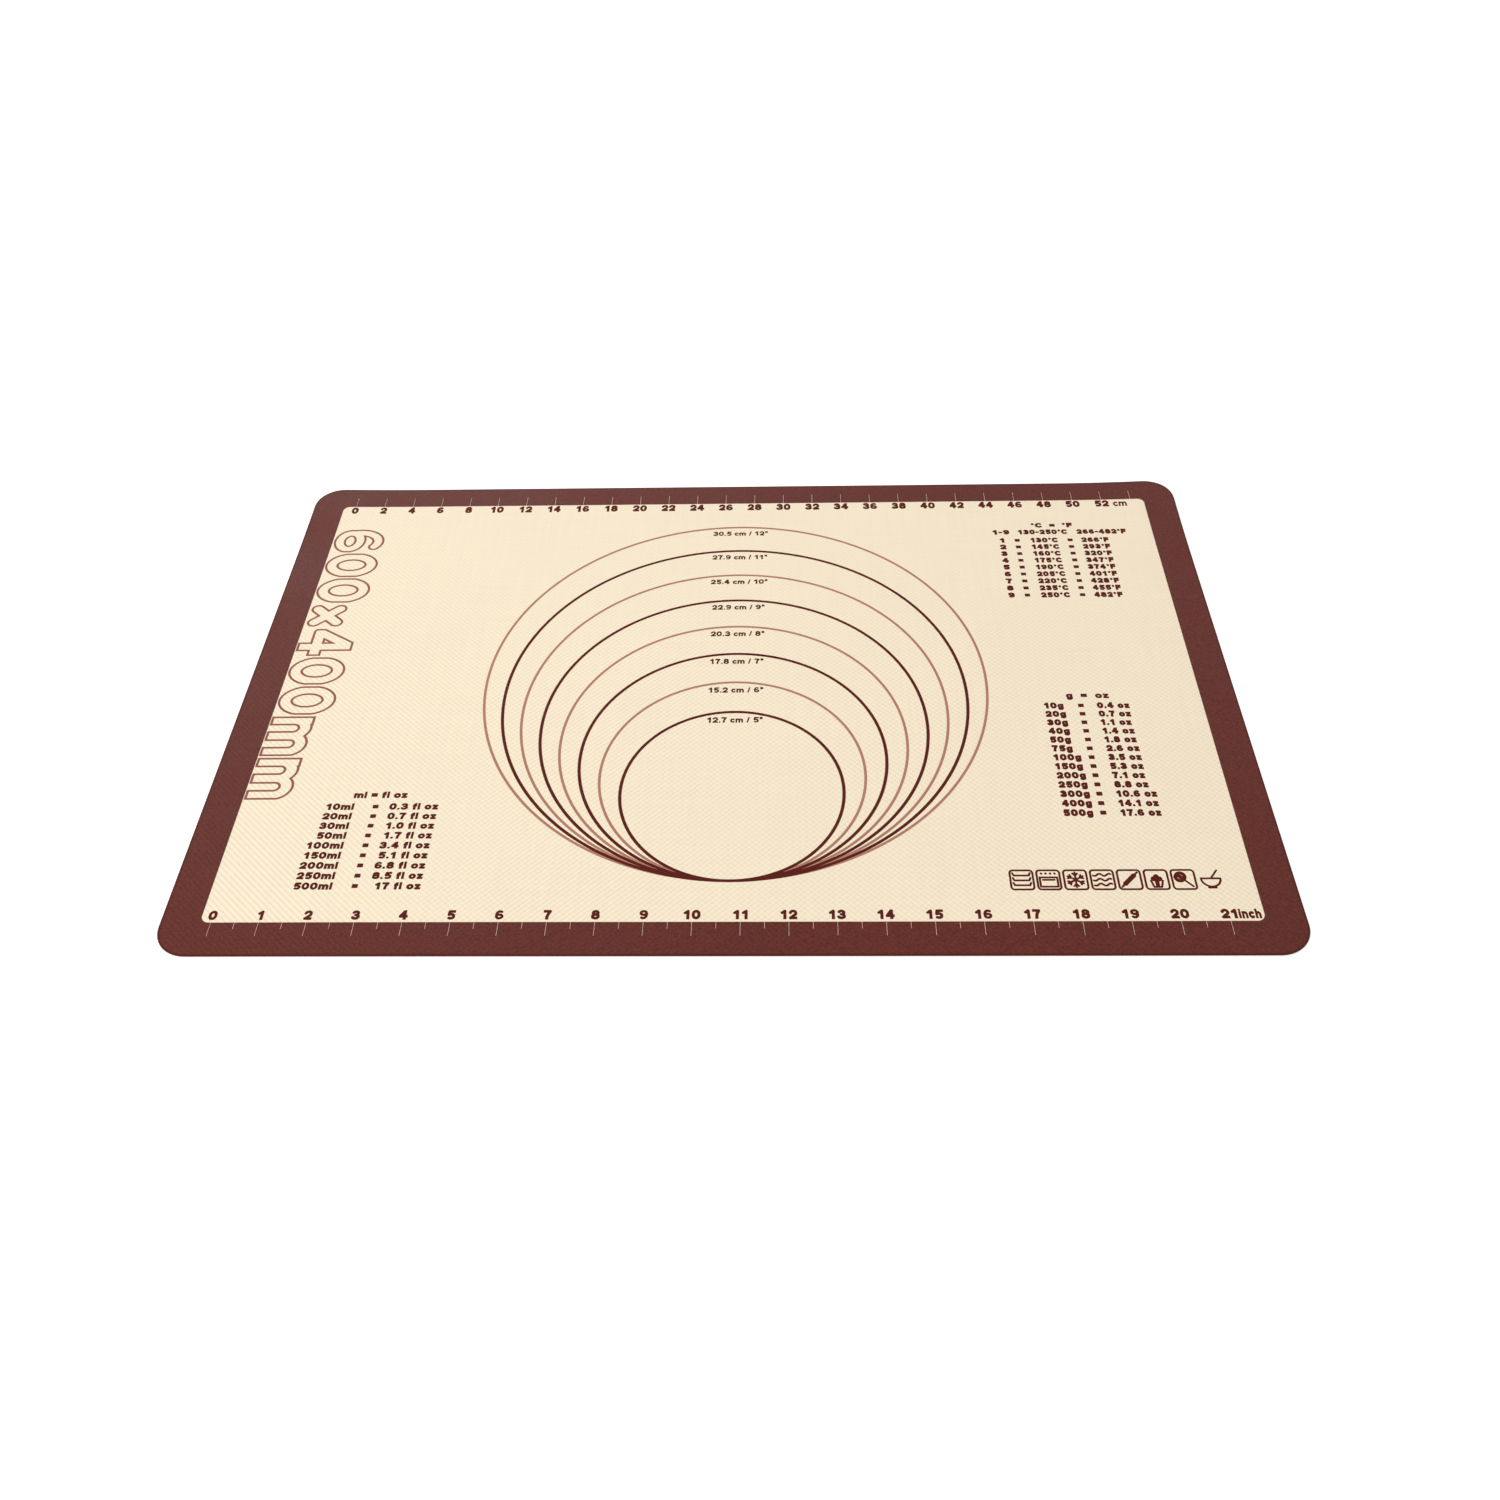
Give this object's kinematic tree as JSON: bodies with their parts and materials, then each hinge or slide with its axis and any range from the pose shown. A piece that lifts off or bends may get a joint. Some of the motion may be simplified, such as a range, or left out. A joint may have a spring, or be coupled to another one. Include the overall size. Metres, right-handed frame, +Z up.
{
  "type": "baking mat",
  "caption": "Thin rectangular silicone baking mat with rounded corners, a dark border ruled in inches and centimetres, and nested circles for sizing rolled-out dough.",
  "frame": {"origin": "centre of the underside, on the table", "axes": "+X along the length, the way the inch ruler counts; +Y to the back edge with the centimetre ruler; +Z up, out of the printed face"},
  "size_m": [0.6, 0.4, 0.0007],
  "materials": {
    "cream_silicone": "satin cream silicone with a plain weave showing through",
    "glass_weave": "plain-woven glass cloth soaked in silicone",
    "brown_silicone": "satin reddish-brown silicone",
    "dark_ink": "matt dark brown silicone ink",
    "light_ink": "matt light red-brown silicone ink"
  },
  "bodies": {
    "root": {"under_coat": "cream_silicone", "glass_cloth": "glass_weave", "top_coat": "cream_silicone", "border_print": "brown_silicone", "edge_seal": "brown_silicone", "ring_1": "dark_ink", "ring_2": "light_ink", "ring_3": "dark_ink", "ring_4": "light_ink", "ring_5": "dark_ink", "ring_6": "light_ink", "ring_7": "dark_ink", "ring_8": "light_ink"}
  },
  "joints": []
}
